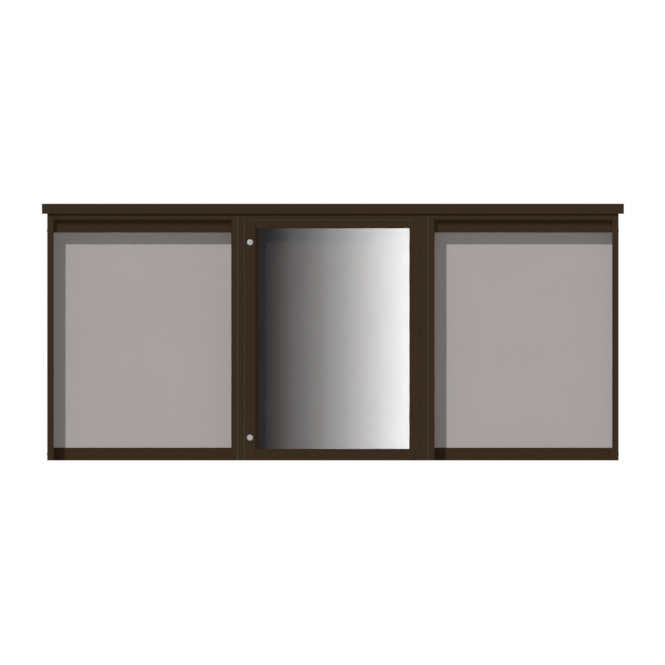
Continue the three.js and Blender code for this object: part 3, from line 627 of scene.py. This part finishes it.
class Workpiece:
    """A new piece on the bench, shaped by operators on the faces and edges that a test picks.

    Sizes and places are in mm in the frame. A test gets the middle of a face or edge and its
    normal, or an edge's direction.
    """

    def __init__(self, name: str) -> None:
        """Take the object in hand, and give it a name.

        Args:
            name: the name of the piece and of its mesh.
        """
        self.shape = bpy.context.object
        self.shape.name = name
        self.shape.data.name = name
        bpy.ops.object.transform_apply(location=True, rotation=True, scale=True)

    @classmethod
    def bar(cls, name: str, low: Triple, high: Triple) -> "Workpiece":
        """Start from a cube between two corners.

        Args:
            name: the piece's name.
            low: the lowest corner.
            high: the highest corner.

        Returns:
            The bar.
        """
        bpy.ops.object.select_all(action="DESELECT")
        bpy.ops.mesh.primitive_cube_add(
            size=1,
            location=[(a + b) / 2 * MM for a, b in zip(low, high)],
            scale=[(b - a) * MM for a, b in zip(low, high)],
        )
        return cls(name)

    @classmethod
    def strip(cls, name: str, low: Triple, high: Triple, radius: float = 0.3) -> "Workpiece":
        """Model a strip between two corners, with its long front edges rounded.

        Args:
            name: the piece's name.
            low: its lowest corner.
            high: its highest corner.
            radius: of the rounded edges, which a thin strip makes less.

        Returns:
            The strip.
        """
        made = cls.bar(name, low, high)
        lengths = [b - a for a, b in zip(low, high)]
        along = lengths.index(max(lengths))
        middle = (low[1] + high[1]) / 2
        with made.editing():
            made.pick_edges(lambda p, way: abs(way[along]) > ALIGNED and p.y < middle)
            made.bevel(min(radius, min(lengths) / 4), segments=2)
        return made.smooth()

    @classmethod
    def round(
        cls, name: str, centre: Triple, radius: float, length: float, axis: Axis, sides: int
    ) -> "Workpiece":
        """Start from a cylinder.

        Args:
            name: the piece's name.
            centre: its middle.
            radius: its radius.
            length: its length.
            axis: the way it points.
            sides: how many sides it has.

        Returns:
            The round bar.
        """
        bpy.ops.object.select_all(action="DESELECT")
        bpy.ops.mesh.primitive_cylinder_add(
            vertices=sides,
            radius=radius * MM,
            depth=length * MM,
            location=metres(centre),
            rotation=axis.value,
        )
        return cls(name)

    def take(self) -> None:
        """Take this piece in hand, and no other."""
        bpy.ops.object.select_all(action="DESELECT")
        self.shape.select_set(True)
        bpy.context.view_layer.objects.active = self.shape

    @contextmanager
    def editing(self) -> Iterator[None]:
        """Hold the piece in edit mode.

        Returns:
            A context, at whose end the piece is back in object mode.
        """
        self.take()
        bpy.ops.object.mode_set(mode="EDIT")
        try:
            yield
        finally:
            bpy.ops.object.mode_set(mode="OBJECT")

    @contextmanager
    def picking(self, mode: str) -> Iterator[bmesh.types.BMesh]:
        """Start from an empty selection in a select mode, and show the new one.

        Args:
            mode: what is selected, "FACE" or "EDGE".

        Returns:
            A context that gives the mesh.
        """
        bpy.ops.mesh.select_mode(type=mode)
        bpy.ops.mesh.select_all(action="DESELECT")
        yield bmesh.from_edit_mesh(self.shape.data)
        bmesh.update_edit_mesh(self.shape.data)

    def pick_faces(self, test: Test) -> None:
        """Select the faces whose middle and normal pass a test.

        Args:
            test: the test, by middle and normal.
        """
        with self.picking("FACE") as mesh:
            for face in mesh.faces:
                face.select_set(test(face.calc_center_median() / MM, face.normal))

    def pick_edges(self, test: Test) -> None:
        """Select the edges whose middle and direction pass a test.

        Args:
            test: the test, by middle and direction.
        """
        with self.picking("EDGE") as mesh:
            for edge in mesh.edges:
                a, b = (v.co for v in edge.verts)
                edge.select_set(test((a + b) / 2 / MM, (b - a).normalized()))

    def push(self, depth: float) -> None:
        """Extrude what is selected towards the wall by so many mm."""
        bpy.ops.mesh.extrude_region_move(TRANSFORM_OT_translate={"value": (0, depth * MM, 0)})

    def scale_about(self, centre: Triple, share: Triple) -> None:
        """Scale what is selected about a place."""
        bpy.ops.transform.resize(value=share, center_override=metres(centre))

    def inset(self, width: float, depth: float = 0.0) -> None:
        """Inset the selected faces, and move them along their normal."""
        bpy.ops.mesh.inset(thickness=width * MM, depth=depth * MM)

    def bevel(self, width: float, segments: int) -> None:
        """Round the selected edges.

        Args:
            width: how far the rounding reaches, in mm.
            segments: how many faces it gets.
        """
        bpy.ops.mesh.bevel(
            offset=width * MM, segments=segments, profile=0.5, affect="EDGES", clamp_overlap=True
        )

    def combine(self, tool: "Workpiece", operation: str = "DIFFERENCE") -> None:
        """Cut another piece out of this one, or join it on, and use it up.

        Args:
            tool: the other piece.
            operation: "DIFFERENCE" to cut, or "UNION" to join.
        """
        change = self.shape.modifiers.new("change", "BOOLEAN")
        change.operation, change.solver, change.object = operation, "EXACT", tool.shape
        bpy.context.view_layer.objects.active = self.shape
        bpy.ops.object.modifier_apply(modifier=change.name)
        tool.discard()

    def discard(self) -> None:
        """Take the piece off the bench for good."""
        bpy.data.objects.remove(self.shape, do_unlink=True)

    def smooth(self, angle: float = 35.0) -> "Workpiece":
        """Smooth the shading of what isn't a real edge.

        Args:
            angle: the largest angle between two faces that are smoothed, in degrees.

        Returns:
            The same piece.
        """
        self.take()
        bpy.ops.object.shade_smooth_by_angle(angle=math.radians(angle))
        return self

    def copy(self, name: str, start: Triple, place: Triple) -> "Workpiece":
        """Copy the piece, with its own mesh, to another place.

        Args:
            name: the copy's name.
            start: a place on this piece.
            place: where the copy has that place.

        Returns:
            The copy.
        """
        self.take()
        bpy.ops.object.duplicate(linked=False)
        bpy.ops.transform.translate(value=[(b - a) * MM for a, b in zip(start, place)])
        return Workpiece(name)

    def install(
        self, body: Body, slot: Slot, finish: Finish | None = None, stands_for: str = ""
    ) -> None:
        """Finish the piece and let it ride on its body.

        Args:
            body: the body it moves with.
            slot: the record's slot that it belongs to.
            finish: its finish, where that isn't the slot's own.
            stands_for: the CAD node that it replaces, if any.
        """
        finish = finish or FINISHES[slot]
        self.shape.data.materials.clear()
        self.shape.data.materials.append(finish.material())
        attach(self.shape, body.value)
        if stands_for:
            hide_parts(stands_for)
        log.info("%s rides on %s, %s", self.shape.name, body.value, finish.title)


class Assembly:
    """A sub-assembly, with the CAD nodes that it dresses.

    Attributes:
        prefixes: how the names of its CAD nodes start.
    """

    prefixes: ClassVar[tuple[str, ...]] = ()

    def build(self) -> None:
        """Model the pieces that the solids don't have."""

    def finish_of(self, slot: Slot) -> Finish:
        """Return the finish that a slot has in this sub-assembly."""
        return FINISHES[slot]

    def dress(self) -> None:
        """Give every CAD node of the sub-assembly its finish."""
        slots = {row["node"]: row["material_slot"] for row in frame["record"]["subparts"]}
        for name, node in frame["nodes"].items():
            if name.startswith(self.prefixes):
                node.data.materials.clear()
                node.data.materials.append(self.finish_of(Slot(slots[name])).material())
                log.info("%s is dressed", name)


@dataclass
class Cases(Assembly):
    """The three cases: walls, heads, bottom rails, panels, tongues and their joints."""

    joint_x: float = 375.0  # between two cases
    joint_foot: float = 0.6
    head_x: float = 349.6  # between the middle head and its wall
    head_foot: float = 949.2
    bead: Triple = (1.5, 0.2, 1.6)  # width, front and back
    bead_top: float = 970.0
    bead_radius: float = 0.25
    side_x: float = 1124.85  # outer face of the outer walls
    cap_radius: float = 5.2
    cap_height: float = 1.1
    cap_round: float = 0.7
    cap_steps: tuple[tuple[float, float], ...] = ((1.6, 0.12), (1.4, 0.05))  # width and rise
    spots: tuple[tuple[str, float, float], ...] = (("head", 53.85, 904.7), ("rail", 76.65, 25.0))

    prefixes: ClassVar[tuple[str, ...]] = (
        "left_case_", "centre_case_", "right_case_", "case_tongue_"
    )

    def build(self) -> None:
        """Model the beads in the joints and the caps over the side screws."""
        joints = (("case", self.joint_x, self.joint_foot), ("head", self.head_x, self.head_foot))
        width, front, back = self.bead
        for side, sign in SIDES:
            for joint, x, foot in joints:
                bead = Workpiece.strip(
                    f"{joint}_joint_bead_{side}",
                    at(sign * x - width / 2, front, foot),
                    at(sign * x + width / 2, back, self.bead_top),
                    self.bead_radius,
                )
                bead.install(Body.BOARD, Slot.RUBBER, PALE_SEALANT)
        start = at(0, *self.spots[0][1:])
        first = self.hole_cap(start)
        for side, sign in SIDES:
            for spot, depth, height in self.spots:
                cap = first.copy(
                    f"hole_cap_{spot}_{side}", start, at(sign * self.side_x, depth, height)
                )
                cap.install(Body.BOARD, Slot.NYLON)
        first.discard()

    def hole_cap(self, centre: Triple) -> Workpiece:
        """Model a cap that is domed on both faces, so that it fits either side of the board.

        Args:
            centre: its middle.

        Returns:
            The cap.
        """
        cap = Workpiece.round(
            "hole_cap", centre, self.cap_radius, 2 * self.cap_height, Axis.X, sides=32
        )
        with cap.editing():
            cap.pick_edges(lambda p, way: abs(abs(p.x) - self.cap_height) < TOUCH_MM)
            cap.bevel(self.cap_round, segments=3)
            for _, sign in SIDES:
                cap.pick_faces(lambda p, n: n.x * sign > ALIGNED and p.x * sign > 0)
                for width, rise in self.cap_steps:
                    cap.inset(width, rise)
        return cap.smooth(angle=50)


@dataclass
class Roof(Assembly):
    """The folded hood, its end plates and the tubes under it."""

    prefixes: ClassVar[tuple[str, ...]] = ("roof_",)


@dataclass
class PanHeadScrew:
    """A self-tapping screw with a pan head and a cross recess, seen from its head."""

    radius: float = 4.1
    height: float = 2.6
    shoulder: float = 1.5  # radius of the head's rim
    recess: Triple = (4.6, 0.95, 1.5)  # length, width and depth of a bar of the cross
    taper: float = 0.6  # size of the recess at its floor, against its mouth

    def model(self, seat: Triple) -> Workpiece:
        """Model the screw with its head towards the wall.

        Args:
            seat: the place on the sheet that the head sits on.

        Returns:
            The screw.
        """
        x, y, z = seat
        top = y + self.height
        middle = (x, y + self.height / 2, z)
        screw = Workpiece.round(
            "pan_head_screw", middle, self.radius, self.height, Axis.Y, sides=32
        )
        with screw.editing():
            screw.pick_edges(lambda p, way: p.y > top - TOUCH_MM)
            screw.bevel(self.shoulder, segments=4)
        length, width, depth = (size / 2 for size in self.recess)
        for across, up in ((length, width), (width, length)):
            bar = Workpiece.bar(
                "cross_recess",
                (x - across, top - 2 * depth, z - up),
                (x + across, top + 2 * depth, z + up),
            )
            with bar.editing():
                bar.pick_faces(lambda p, n: n.y < -ALIGNED)
                bar.scale_about((x, top, z), (self.taper, 1, self.taper))
            screw.combine(bar)
        return screw.smooth(angle=40)


@dataclass
class WallRails(Assembly):
    """The two hat rails that hang the board, and the screws that hold them to the walls."""

    flange_back: float = 97.8
    rail_heights: tuple[float, float] = (110.0, 860.0)
    screw_rise: float = 26.5  # from a rail's middle to a row of screws
    screw_x: tuple[float, ...] = (-1112.4, -387.6, -362.4, 362.4, 387.6, 1112.4)

    prefixes: ClassVar[tuple[str, ...]] = ("wall_rail_",)

    def build(self) -> None:
        """Model one screw and copy it to every wall and flange."""
        rows = [
            height + turn * self.screw_rise for height in self.rail_heights for turn in (-1, 1)
        ]
        places = [at(x, self.flange_back, row) for row in rows for x in self.screw_x]
        first = PanHeadScrew().model(places[0])
        for number, place in enumerate(places, start=1):
            screw = first.copy(f"rail_screw_{number:02d}", places[0], place)
            screw.install(Body.BOARD, Slot.ZINC_STEEL)
        first.discard()


@dataclass
class Interior(Assembly):
    """The pinboard, the door stops and the seals on them."""

    prefixes: ClassVar[tuple[str, ...]] = ("pinboard", "door_stop_", "door_seal_")


@dataclass
class EdgeScrew:
    """A nearly flush screw with a hexagon socket, whose head points to the left."""

    radius: float = 2.9
    length: float = 1.2
    proud: float = 0.2  # how far its middle stands out of the edge
    rim: float = 0.3
    socket: tuple[float, float] = (1.4, 1.6)  # radius and length of its tool
    taper: float = 0.8  # size of the socket at its floor, against its mouth

    def model(self, name: str, seat: Triple) -> Workpiece:
        """Model the screw where it sits.

        Args:
            name: the screw's name.
            seat: its middle in the plane of the door's edge.

        Returns:
            The screw.
        """
        centre = (seat[0] - self.proud, seat[1], seat[2])
        face = centre[0] - self.length / 2
        screw = Workpiece.round(name, centre, self.radius, self.length, Axis.X, sides=24)
        with screw.editing():
            screw.pick_edges(lambda p, way: p.x < face + TOUCH_MM)
            screw.bevel(self.rim, segments=2)
        radius, length = self.socket
        socket = Workpiece.round("socket", (face, *centre[1:]), radius, length, Axis.X, sides=6)
        with socket.editing():
            socket.pick_faces(lambda p, n: n.x > ALIGNED)
            socket.scale_about(centre, (1, self.taper, self.taper))
        screw.combine(socket)
        return screw.smooth(angle=40)


@dataclass
class Door(Assembly):
    """The door leaf: frame, glazing and the thin strips in and round it."""

    half: float = 347.5
    foot: float = 2.0
    top: float = 946.5
    strip: float = 2.1
    foot_strip: float = 1.7
    foot_strip_end: float = 313.0  # beside the pivot bracket
    pivot_gate: tuple[float, float] = (324.0, 343.0)  # the gap in the top strip for the pin
    wall_right: float = 350.0
    wall_strip: float = 1.2
    rail_joint: float = 300.9  # between the rails and the hinge stile
    joint_bead: float = 0.6
    foot_rail_top: float = 45.6
    top_rail_foot: float = 913.9
    edge_screw_depth: float = 20.5
    edge_screws: tuple[float, float] = (5.5, 943.0)

    depths: ClassVar[dict[str, tuple[float, float]]] = {  # front and back, by a name's first word
        "door": (1.0, 4.0),
        "wall": (0.5, 2.0),
        "rail": (-0.15, 0.6),
    }
    prefixes: ClassVar[tuple[str, ...]] = (
        "lock_stile", "hinge_stile", "door_top_rail", "door_bottom_rail", "glass_", "glazing_bead_"
    )

    def build(self) -> None:
        """Model the strips round the leaf, the joint beads and the screws in its edge."""
        frame["nodes"]["glass_pane"].visible_shadow = False  # clear glass lets the lamps through
        for name, (x0, x1, z0, z1) in self.strips().items():
            kind = name.split("_")[0]
            front, back = self.depths[kind]
            made = Workpiece.strip(name, at(x0, front, z0), at(x1, back, z1))
            made.install(
                Body.BOARD if kind == "wall" else Body.DOOR,
                Slot.RUBBER,
                PALE_SEALANT if kind == "rail" else GREY_GASKET,
            )
        for name, height in zip(("foot", "top"), self.edge_screws):
            seat = at(-self.half, self.edge_screw_depth, height)
            EdgeScrew().model(f"edge_screw_{name}", seat).install(Body.DOOR, Slot.ZINC_STEEL)

    def strips(self) -> dict[str, tuple[float, float, float, float]]:
        """Lay out every strip and bead.

        Returns:
            For each name, the left, right, lower and upper end of the piece.
        """
        left, right, foot, top = -self.half, self.half, self.foot, self.top
        gate_left, gate_right = self.pivot_gate
        wall = (self.wall_right - self.wall_strip, self.wall_right)
        joint = (self.rail_joint - self.joint_bead / 2, self.rail_joint + self.joint_bead / 2)
        return {
            "door_strip_left": (left - self.strip, left, foot, top),
            "door_strip_top": (left, gate_left, top, top + self.strip),
            "door_strip_corner": (gate_right, right, top, top + self.strip),
            "door_strip_foot": (left, self.foot_strip_end, foot - self.foot_strip, foot),
            "wall_strip_right": (*wall, foot, top),
            "rail_joint_bead_foot": (*joint, foot, self.foot_rail_top),
            "rail_joint_bead_top": (*joint, self.top_rail_foot, top),
        }


@dataclass
class Pivots(Assembly):
    """The lower bracket, the upper pin and their bushes."""

    prefixes: ClassVar[tuple[str, ...]] = ("lower_pivot_", "upper_pivot_")


@dataclass
class CamLock(Assembly):
    """One cam lock: a housing with a turned face, a plug with its keyway, nut, cam and screw."""

    name: str
    body: Body
    height: float
    x: float = -326.6
    face_radius: float = 11.6
    face_depth: float = -2.3
    face_round: float = 0.8
    rim: float = 1.3
    dish: tuple[float, float] = (0.25, 0.3)  # width and depth of the slope inside the rim
    mouth: tuple[float, float] = (0.4, 0.25)  # of the slope round the plug
    flange_back: float = -0.15
    barrel_radius: float = 9.0
    barrel_end: float = 30.1
    bore_radius: float = 6.6
    thread_from: float = 15.0
    thread_pitch: float = 1.5
    thread_depth: float = 0.7
    plug_radius: float = 6.5
    plug_face: float = -2.0
    plug_round: float = 0.35
    plug_end: float = 30.55
    tail_side: float = 7.0
    tail_root: float = 4.0  # how far the square tail starts inside the plug
    tail_round: float = 0.5
    tail_end: float = 33.1
    keyway: Triple = (1.5, 11.0, 7.4)  # width, depth and height
    keyway_flat: float = 0.1  # what its rounded ends leave flat
    ward: Triple = (0.5, 1.2, 2.8)  # reach beside the keyway, and ends above its foot
    ward_round: float = 0.2
    ward_floor: float = 1.0  # before the keyway's

    @property
    def prefixes(self) -> tuple[str, ...]:
        """How the names of this lock's CAD nodes start."""
        return (f"{self.name}_lock_",)

    def finish_of(self, slot: Slot) -> Finish:
        """Centre the rings of the nickel on this lock's axis.

        Args:
            slot: the record's slot.

        Returns:
            The finish that the slot has on this lock.
        """
        plain = FINISHES[slot]
        if not isinstance(plain, SatinNickel):
            return plain
        return replace(plain, title=f"{plain.title}_{self.name}", centre_mm=self.on_axis(0))

    def build(self) -> None:
        """Model the housing and the plug in place of their plain solids."""
        nickel = self.finish_of(Slot.NICKEL)
        self.housing().install(Body.DOOR, Slot.NICKEL, nickel, f"{self.name}_lock_housing")
        self.plug().install(self.body, Slot.NICKEL, nickel, f"{self.name}_lock_plug")

    def on_axis(self, depth: float) -> Triple:
        """Return the place on the lock's axis at a depth."""
        return at(self.x, depth, self.height)

    def away(self, p: Vector) -> float:
        """Return the distance of a place from the lock's axis."""
        x, _, z = self.on_axis(0)
        return math.hypot(p.x - x, p.z - z)

    def turned(self, name: str, radius: float, front: float, back: float) -> Workpiece:
        """Start from a round bar on the lock's axis, between two depths."""
        middle = self.on_axis((front + back) / 2)
        return Workpiece.round(name, middle, radius, back - front, Axis.Y, sides=64)

    def housing(self) -> Workpiece:
        """Model the flange with its rounded rim and dished face, the threaded barrel and the bore.

        Returns:
            The housing.
        """
        front = self.on_axis(self.face_depth)[1]
        made = self.turned(
            f"{self.name}_lock_case", self.face_radius, self.face_depth, self.flange_back
        )
        with made.editing():
            made.pick_faces(lambda p, n: n.y > ALIGNED)
            self.barrel(made)
            made.pick_faces(lambda p, n: n.y < -ALIGNED and abs(p.y - front) < TOUCH_MM)
            self.face(made)
            made.pick_faces(lambda p, n: abs(n.y) > ALIGNED and self.away(p) < TOUCH_MM)
            bpy.ops.mesh.bridge_edge_loops()
            within_rim = self.face_radius - self.rim / 4
            made.pick_edges(
                lambda p, way: abs(p.y - front) < TOUCH_MM and self.away(p) > within_rim
            )
            made.bevel(self.face_round, segments=4)
        return made.smooth(angle=30)

    def barrel(self, made: Workpiece) -> None:
        """Push the barrel out of the picked back face, thread it and leave its bore picked.

        Args:
            made: the housing, in edit mode.
        """
        axis = self.on_axis(0)
        root = (self.barrel_radius - self.thread_depth) / self.barrel_radius
        made.inset(self.face_radius - self.barrel_radius)
        made.push(self.thread_from - self.flange_back)
        depth = self.thread_from
        while depth < self.barrel_end - 2 * self.thread_pitch:
            for share in (root, 1 / root):
                made.push(self.thread_pitch / 2)
                made.scale_about(axis, (share, 1, share))
            depth += self.thread_pitch
        made.push(self.barrel_end - depth)
        made.inset(self.barrel_radius - self.bore_radius)

    def face(self, made: Workpiece) -> None:
        """Turn the rim, the dish and the mouth of the bore into the picked front face.

        Args:
            made: the housing, in edit mode.
        """
        dish_width, dish_depth = self.dish
        mouth_width, mouth_depth = self.mouth
        made.inset(self.rim)
        made.inset(dish_width, -dish_depth)
        made.inset(self.face_radius - self.rim - dish_width - self.bore_radius - mouth_width)
        made.inset(mouth_width, -mouth_depth)

    def plug(self) -> Workpiece:
        """Model the plug with its square tail, its keyway and the slot for the key's ward.

        Returns:
            The plug.
        """
        made = self.turned(
            f"{self.name}_lock_core", self.plug_radius, self.plug_face, self.plug_end
        )
        x, front, z = self.on_axis(self.plug_face)
        with made.editing():
            made.pick_edges(lambda p, way: abs(p.y - front) < TOUCH_MM)
            made.bevel(self.plug_round, segments=2)
        made.combine(self.tail(), "UNION")
        width, depth, height = self.keyway
        left, foot = x - width / 2, z - height / 2
        mouth = front - OVERSHOOT_MM
        key = Workpiece.bar(
            "keyway", (left, mouth, foot), (x + width / 2, front + depth, z + height / 2)
        )
        with key.editing():
            key.pick_edges(lambda p, way: abs(way.y) > ALIGNED)
            key.bevel((width - self.keyway_flat) / 2, segments=4)
        made.combine(key)
        ward_width, ward_foot, ward_top = self.ward
        ward = Workpiece.bar(
            "ward",
            (left - ward_width, mouth, foot + ward_foot),
            (x, front + depth - self.ward_floor, foot + ward_top),
        )
        with ward.editing():
            ward.pick_edges(lambda p, way: abs(way.y) > ALIGNED and p.x < left)
            ward.bevel(self.ward_round, segments=2)
        made.combine(ward)
        return made.smooth(angle=30)

    def tail(self) -> Workpiece:
        """Model the square end that drives the cam.

        Returns:
            The tail.
        """
        half = self.tail_side / 2
        x, root, z = self.on_axis(self.plug_end - self.tail_root)
        end = self.on_axis(self.tail_end)[1]
        made = Workpiece.bar("tail", (x - half, root, z - half), (x + half, end, z + half))
        with made.editing():
            made.pick_edges(lambda p, way: abs(way.y) > ALIGNED)
            made.bevel(self.tail_round, segments=2)
        return made


@dataclass(frozen=True)
class Lamp:
    """A lamp with parallel light, which glass lets through but doesn't gather.

    Attributes:
        name: the lamp's name.
        way: the direction of its light.
        energy: its strength.
        angle: its angle in degrees, which softens its shadows.
        glossy: whether a glossy surface shows it.
    """

    name: str
    way: Triple
    energy: float
    angle: float
    glossy: bool = False

    def hang(self) -> None:
        """Hang the lamp in the scene."""
        light = bpy.data.lights.new(self.name, "SUN")
        light.energy, light.angle = self.energy, math.radians(self.angle)
        stand = bpy.data.objects.new(self.name, light)
        stand.rotation_euler = Vector(self.way).to_track_quat("-Z", "Y").to_euler()
        stand.visible_glossy = self.glossy
        stand.visible_transmission = False
        bpy.context.scene.collection.objects.link(stand)


@dataclass
class Studio:
    """Camera, lamps, white surroundings, pale floor and the card that the glass reflects."""

    middle: tuple[float, float] = (332.9, 460.45)  # pixel of the board's middle and foot
    distance: float = 6000.0  # from the wall to the camera
    lamps: tuple[Lamp, ...] = (
        Lamp("key_light", (0.6, 1.0, -0.84), 2.45, 1.0, glossy=True),
        Lamp("front_light", (0.0, 1.0, -0.04), 0.84, 4.0),
        Lamp("rear_light", (-0.6, -1.0, -0.5), 2.1, 30.0),
        Lamp("left_light", (1.0, 0.0, -0.04), 0.7, 4.0),
        Lamp("right_light", (-1.0, 0.0, -0.04), 0.7, 4.0),
    )
    sky: float = 0.09  # strength of the surroundings as a light
    floor_colour: str = "#B4B3B0"
    floor_glow: float = 0.68  # what lifts the lit floor to white
    floor_reach: float = 9000.0
    floor_thickness: float = 0.2
    floor_drop: float = 1.0  # below the cases
    card_centre: Triple = (4.0, -3000.0, -380.0)
    card_size: Triple = (620.0, 2.0, 920.0)
    card_glow: float = 13.9  # where the grade is 1
    card_gamma: float = 2.2  # turns a grade, which is as the eye sees it, into light
    card_grades: tuple[tuple[float, float], ...] = (  # places across, with their grades
        (-294.0, 0.13),
        (-246.0, 0.15),
        (-165.0, 0.31),
        (108.0, 0.675),
        (250.0, 0.875),
        (294.0, 0.96),
    )

    def build(self) -> None:
        """Set up the whole studio."""
        self.camera()
        for lamp in self.lamps:
            lamp.hang()
        self.surroundings()
        self.floor()
        self.card()
        bpy.context.scene.view_settings.view_transform = "Standard"

    def camera(self) -> None:
        """Place a camera without perspective, square to the board's front."""
        lens = bpy.data.cameras.new("camera")
        lens.type = "ORTHO"
        lens.ortho_scale = IMAGE_WIDTH * PIXEL_MM * MM
        lens.clip_end = 100  # metres
        stand = bpy.data.objects.new("camera", lens)
        across = (IMAGE_WIDTH / 2 - self.middle[0]) * PIXEL_MM
        up = (self.middle[1] - IMAGE_WIDTH / 2) * PIXEL_MM + FOOT_MM
        stand.location = metres((across, -self.distance, up))
        stand.rotation_euler = (math.pi / 2, 0, 0)
        bpy.context.scene.collection.objects.link(stand)
        bpy.context.scene.camera = stand

    def seen(self, tree: Tree) -> Socket:
        """Tell what is looked at from what only sheds light.

        Args:
            tree: the node tree that needs to know.

        Returns:
            An output that is 1 for the camera, for gloss and for what glass lets through. It is 0
            for light on its way to a dull surface, also where that passes through glass.
        """
        path = add_node(tree, "ShaderNodeLightPath").outputs
        half_a_bounce = 0.5
        return work_out(tree, "COMPARE", path["Diffuse Depth"], 0.0, half_a_bounce)

    def surroundings(self) -> None:
        """Make the surroundings white to the eye and dimmer as a light."""
        world = bpy.data.worlds.new("white_surroundings")
        world.use_nodes = True
        tree = world.node_tree
        tree.nodes.clear()
        strength = spread(tree, self.seen(tree), self.sky, 1.0)
        light = add_node(tree, "ShaderNodeBackground", {"Color": WHITE, "Strength": strength})
        add_node(tree, "ShaderNodeOutputWorld", {"Surface": light.outputs["Background"]})
        bpy.context.scene.world = world

    def floor(self) -> None:
        """Lay a pale floor at the board's foot, white to the eye where no shadow lies."""
        reach, top = self.floor_reach, FOOT_MM - self.floor_drop
        low = (-reach, -reach, top - self.floor_thickness)
        floor = Workpiece.bar("floor", low, (reach, reach, top))
        made = new_material("pale_floor")
        tree = made.node_tree
        feed(
            tree.nodes["Principled BSDF"],
            {
                "Base Color": linear(self.floor_colour),
                "Roughness": 0.9,
                "Specular IOR Level": 0.1,
                "Emission Color": WHITE,
                "Emission Strength": spread(tree, self.seen(tree), 0.0, self.floor_glow),
            },
        )
        floor.shape.data.materials.append(made)

    def card(self) -> None:
        """Stand the graded card in front of the door, seen only as a reflection in the glass."""
        low, high = (
            tuple(c + sign * size / 2 for c, size in zip(self.card_centre, self.card_size))
            for sign in (-1, 1)
        )
        card = Workpiece.bar("reflection_card", low, high)
        made = new_material("graded_card")
        tree = made.node_tree
        tree.nodes.clear()
        curve = work_out(tree, "POWER", self.card_grade(tree), self.card_gamma)
        glow = work_out(tree, "MULTIPLY", curve, self.card_glow)
        light = add_node(tree, "ShaderNodeEmission", {"Color": WHITE, "Strength": glow})
        path = add_node(tree, "ShaderNodeLightPath").outputs
        mirrored = work_out(tree, "MULTIPLY", self.seen(tree), path["Is Singular Ray"])
        clear = add_node(tree, "ShaderNodeBsdfTransparent")
        both = add_node(
            tree,
            "ShaderNodeMixShader",
            {0: mirrored, 1: clear.outputs["BSDF"], 2: light.outputs["Emission"]},
        )
        add_node(tree, "ShaderNodeOutputMaterial", {"Surface": both.outputs["Shader"]})
        card.shape.data.materials.append(made)
        card.shape.visible_camera = False
        card.shape.visible_diffuse = False
        card.shape.visible_shadow = False

    def card_grade(self, tree: Tree) -> Socket:
        """Grade the card from dark on the left to bright on the right, as the photograph shows.

        Args:
            tree: the node tree of the card's material.

        Returns:
            The output with the grade.
        """
        width = self.card_size[0]
        left = self.card_centre[0] - width / 2
        place = add_node(tree, "ShaderNodeTexCoord").outputs["Object"]
        across = add_node(tree, "ShaderNodeSeparateXYZ", {"Vector": place})
        ends = {"From Min": left * MM, "From Max": (left + width) * MM}
        along = add_node(tree, "ShaderNodeMapRange", {"Value": across.outputs["X"]} | ends)
        grade = add_node(tree, "ShaderNodeValToRGB", {"Fac": along.outputs["Result"]})
        stops = grade.color_ramp.elements
        for number, (x, value) in enumerate(self.card_grades):
            stop = stops[number] if number < 2 else stops.new(1.0)  # a ramp comes with two
            stop.position = (x - left) / width
            stop.color = (value, value, value, 1.0)
        return grade.outputs["Color"]


def write_size() -> None:
    """Bring the places and sizes of all objects up to date."""
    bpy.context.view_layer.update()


def main() -> None:
    """Build and dress the sub-assemblies in order, then the studio."""
    logging.basicConfig(level=logging.INFO, format="%(name)s: %(message)s")
    bpy.ops.object.select_all(action="DESELECT")
    parts: Sequence[Assembly] = (
        Cases(),
        Roof(),
        WallRails(),
        Interior(),
        Door(),
        Pivots(),
        CamLock("upper", Body.UPPER_LOCK, 859.0),
        CamLock("lower", Body.LOWER_LOCK, 90.0),
    )
    for part in parts:
        log.info("sub-assembly %s", type(part).__name__)
        part.dress()
        part.build()
    Studio().build()
    write_size()


if __name__ == "__main__":
    main()
